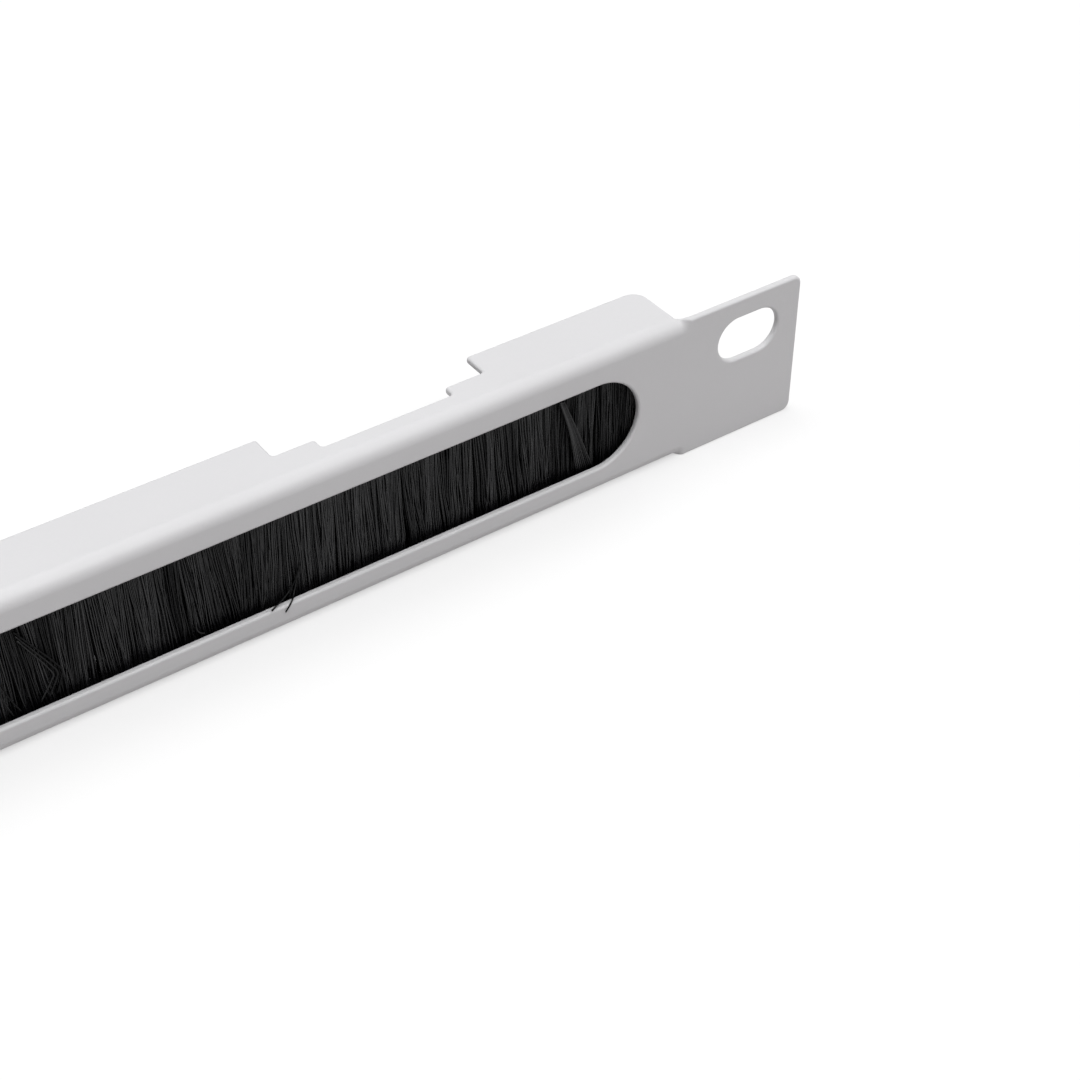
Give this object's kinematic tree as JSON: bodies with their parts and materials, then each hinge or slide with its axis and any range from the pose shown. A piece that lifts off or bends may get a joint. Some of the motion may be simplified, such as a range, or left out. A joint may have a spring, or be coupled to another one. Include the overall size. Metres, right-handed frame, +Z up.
{
  "type": "rack cable entry panel",
  "caption": "Narrow folded steel rack panel with flat ears, an oblong fixing hole in each ear and a long front slot closed by a black strip brush that cables pass through.",
  "frame": {"origin": "midway between the two ear holes, on the rear face of the ears, which bears on the rack rails", "axes": "+X along the panel, to the right as seen from the front; +Y back into the rack; +Z up"},
  "size_m": [0.4826, 0.0098, 0.022],
  "materials": {
    "powder_coat": "light grey powder coat, fine and satin",
    "zinc_plated_strip": "bare zinc-plated strip",
    "steel_wire": "drawn wire",
    "nylon_bristle": "black nylon filaments, slightly glossy"
  },
  "bodies": {
    "root": {"panel": "powder_coat", "brush_channel": "zinc_plated_strip", "core_wire": "steel_wire", "bristles": "nylon_bristle"}
  },
  "joints": []
}
